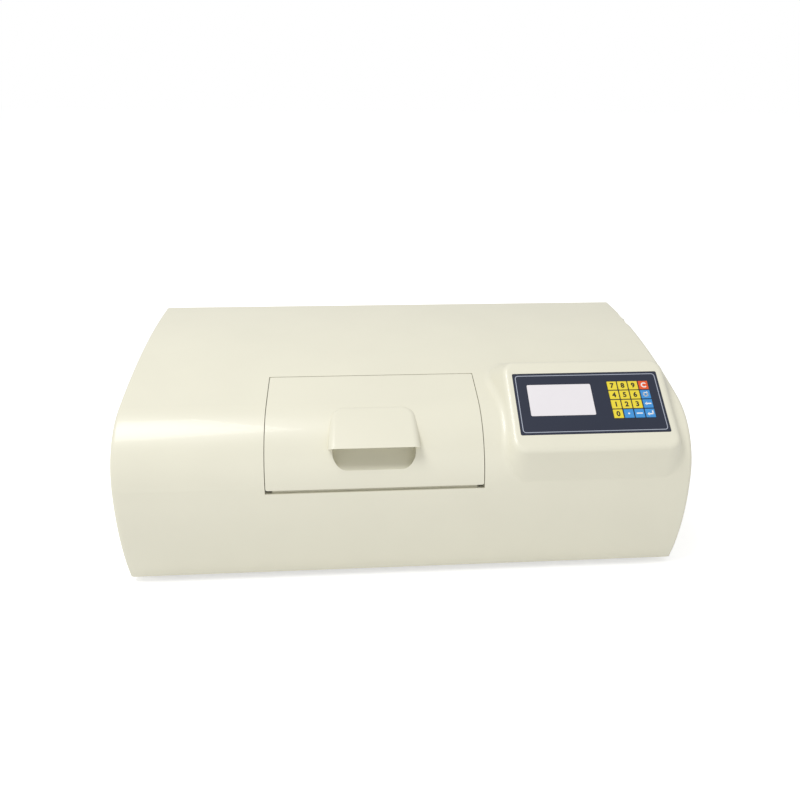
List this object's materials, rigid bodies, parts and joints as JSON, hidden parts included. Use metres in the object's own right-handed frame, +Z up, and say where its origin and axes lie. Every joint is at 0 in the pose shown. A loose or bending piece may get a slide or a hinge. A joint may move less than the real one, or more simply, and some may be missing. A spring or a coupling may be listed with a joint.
{
  "type": "polarimeter",
  "caption": "Bench polarimeter: moulded casing with a hinged, hooded lid over a sample tube chamber, a raised console with display and keypad, and its optical train.",
  "frame": {"origin": "centre of the overall box at the underside of the feet", "axes": "+Z up, +X to the right for someone facing the front, +Y from the front to the back"},
  "size_m": [0.6, 0.3078, 0.22],
  "materials": {
    "cream_moulding": "satin gloss moulded",
    "painted_sheet": "fine textured paint",
    "screw_steel": "zinc plated",
    "foot_rubber": "matt",
    "seal_foam": "matt",
    "overlay_film": "satin printed film",
    "display_face": "pale screen",
    "yellow_key": "satin",
    "orange_key": "satin",
    "blue_key": "satin",
    "circuit_board": "solder mask",
    "dark_plastic": "moulded",
    "black_sheet": "matt black",
    "cast_bench": "machined casting",
    "turned_metal": "turned",
    "gear_brass": "cut brass",
    "copper_wire": "enamelled winding",
    "clear_glass": "polished",
    "lamp_ceramic": "glazed ceramic",
    "core_steel": "laminated"
  },
  "bodies": {
    "casing": {"top_shell": "cream_moulding", "base_tray": "painted_sheet", "rear_panel": "painted_sheet", "rear_panel_screws": "screw_steel", "foot_screws": "screw_steel", "console_screws": "screw_steel", "bench_pillars": "turned_metal", "rubber_feet": "foot_rubber", "lid_seal": "seal_foam", "hinge_brackets": "dark_plastic", "overlay_panel": "overlay_film", "display_glass": "display_face", "display_module": "black_sheet", "console_board": "circuit_board", "main_board": "circuit_board", "chamber_liner": "black_sheet", "window_rings": "dark_plastic", "chamber_windows": "clear_glass", "sample_trough": "black_sheet", "optical_bench": "cast_bench", "lamp_housing": "turned_metal", "lamp_socket": "lamp_ceramic", "spectral_lamp": "clear_glass", "lens_tube": "black_sheet", "condenser_lens": "clear_glass", "polariser_mount": "black_sheet", "polariser_prism": "clear_glass", "modulator_bobbin": "dark_plastic", "modulator_coil": "copper_wire", "analyser_plate": "cast_bench", "motor_bracket": "cast_bench", "servo_motor": "turned_metal", "detector_housing": "black_sheet", "light_filter": "clear_glass", "mains_transformer": "core_steel", "power_inlet": "dark_plastic", "power_switch": "dark_plastic", "serial_port": "screw_steel"},
    "lid": {"chamber_lid": "cream_moulding", "lid_pins": "screw_steel"},
    "rocker": {"power_rocker": "dark_plastic"},
    "analyser": {"analyser_wheel": "gear_brass", "analyser_prism": "clear_glass"},
    "pinion": {"drive_pinion": "gear_brass"},
    "key_7": {"key_7": "yellow_key"},
    "key_8": {"key_8": "yellow_key"},
    "key_9": {"key_9": "yellow_key"},
    "key_clear": {"key_clear": "orange_key"},
    "key_4": {"key_4": "yellow_key"},
    "key_5": {"key_5": "yellow_key"},
    "key_6": {"key_6": "yellow_key"},
    "key_repeat": {"key_repeat": "blue_key"},
    "key_1": {"key_1": "yellow_key"},
    "key_2": {"key_2": "yellow_key"},
    "key_3": {"key_3": "yellow_key"},
    "key_back": {"key_back": "blue_key"},
    "key_0": {"key_0": "yellow_key"},
    "key_point": {"key_point": "blue_key"},
    "key_minus": {"key_minus": "blue_key"},
    "key_enter": {"key_enter": "blue_key"}
  },
  "joints": [
    {"name": "lid_hinge", "type": "hinge", "parent": "casing", "child": "lid", "pos_m": [-0.0346, -0.06582, 0.18718], "axis": [-1, 0, 0], "range_deg": [0, 118]},
    {"name": "rocker_tip", "type": "hinge", "parent": "casing", "child": "rocker", "pos_m": [-0.18, 0.14693, 0.058], "axis": [1, 0, 0], "range_deg": [0, 16]},
    {"name": "analyser_turn", "type": "hinge", "parent": "casing", "child": "analyser", "pos_m": [0.1075, -0.09157, 0.104], "axis": [1, 0, 0], "range_deg": [-45, 45]},
    {"name": "pinion_turn", "type": "hinge", "parent": "casing", "child": "pinion", "pos_m": [0.1075, -0.09157, 0.142], "axis": [1, 0, 0], "range_deg": [-180, 180]},
    {"name": "key_7_press", "type": "slide", "parent": "casing", "child": "key_7", "axis": [0, 0.5878, -0.809], "range_m": [0, 0.0005], "stiffness_N_per_m": 800, "springref_m": -0.0005},
    {"name": "key_8_press", "type": "slide", "parent": "casing", "child": "key_8", "axis": [0, 0.5878, -0.809], "range_m": [0, 0.0005], "stiffness_N_per_m": 800, "springref_m": -0.0005},
    {"name": "key_9_press", "type": "slide", "parent": "casing", "child": "key_9", "axis": [0, 0.5878, -0.809], "range_m": [0, 0.0005], "stiffness_N_per_m": 800, "springref_m": -0.0005},
    {"name": "key_clear_press", "type": "slide", "parent": "casing", "child": "key_clear", "axis": [0, 0.5878, -0.809], "range_m": [0, 0.0005], "stiffness_N_per_m": 800, "springref_m": -0.0005},
    {"name": "key_4_press", "type": "slide", "parent": "casing", "child": "key_4", "axis": [0, 0.5878, -0.809], "range_m": [0, 0.0005], "stiffness_N_per_m": 800, "springref_m": -0.0005},
    {"name": "key_5_press", "type": "slide", "parent": "casing", "child": "key_5", "axis": [0, 0.5878, -0.809], "range_m": [0, 0.0005], "stiffness_N_per_m": 800, "springref_m": -0.0005},
    {"name": "key_6_press", "type": "slide", "parent": "casing", "child": "key_6", "axis": [0, 0.5878, -0.809], "range_m": [0, 0.0005], "stiffness_N_per_m": 800, "springref_m": -0.0005},
    {"name": "key_repeat_press", "type": "slide", "parent": "casing", "child": "key_repeat", "axis": [0, 0.5878, -0.809], "range_m": [0, 0.0005], "stiffness_N_per_m": 800, "springref_m": -0.0005},
    {"name": "key_1_press", "type": "slide", "parent": "casing", "child": "key_1", "axis": [0, 0.5878, -0.809], "range_m": [0, 0.0005], "stiffness_N_per_m": 800, "springref_m": -0.0005},
    {"name": "key_2_press", "type": "slide", "parent": "casing", "child": "key_2", "axis": [0, 0.5878, -0.809], "range_m": [0, 0.0005], "stiffness_N_per_m": 800, "springref_m": -0.0005},
    {"name": "key_3_press", "type": "slide", "parent": "casing", "child": "key_3", "axis": [0, 0.5878, -0.809], "range_m": [0, 0.0005], "stiffness_N_per_m": 800, "springref_m": -0.0005},
    {"name": "key_back_press", "type": "slide", "parent": "casing", "child": "key_back", "axis": [0, 0.5878, -0.809], "range_m": [0, 0.0005], "stiffness_N_per_m": 800, "springref_m": -0.0005},
    {"name": "key_0_press", "type": "slide", "parent": "casing", "child": "key_0", "axis": [0, 0.5878, -0.809], "range_m": [0, 0.0005], "stiffness_N_per_m": 800, "springref_m": -0.0005},
    {"name": "key_point_press", "type": "slide", "parent": "casing", "child": "key_point", "axis": [0, 0.5878, -0.809], "range_m": [0, 0.0005], "stiffness_N_per_m": 800, "springref_m": -0.0005},
    {"name": "key_minus_press", "type": "slide", "parent": "casing", "child": "key_minus", "axis": [0, 0.5878, -0.809], "range_m": [0, 0.0005], "stiffness_N_per_m": 800, "springref_m": -0.0005},
    {"name": "key_enter_press", "type": "slide", "parent": "casing", "child": "key_enter", "axis": [0, 0.5878, -0.809], "range_m": [0, 0.0005], "stiffness_N_per_m": 800, "springref_m": -0.0005}
  ],
  "couplings": [
    {"joint": "pinion_turn", "follows": "analyser_turn", "ratio": -4}
  ]
}
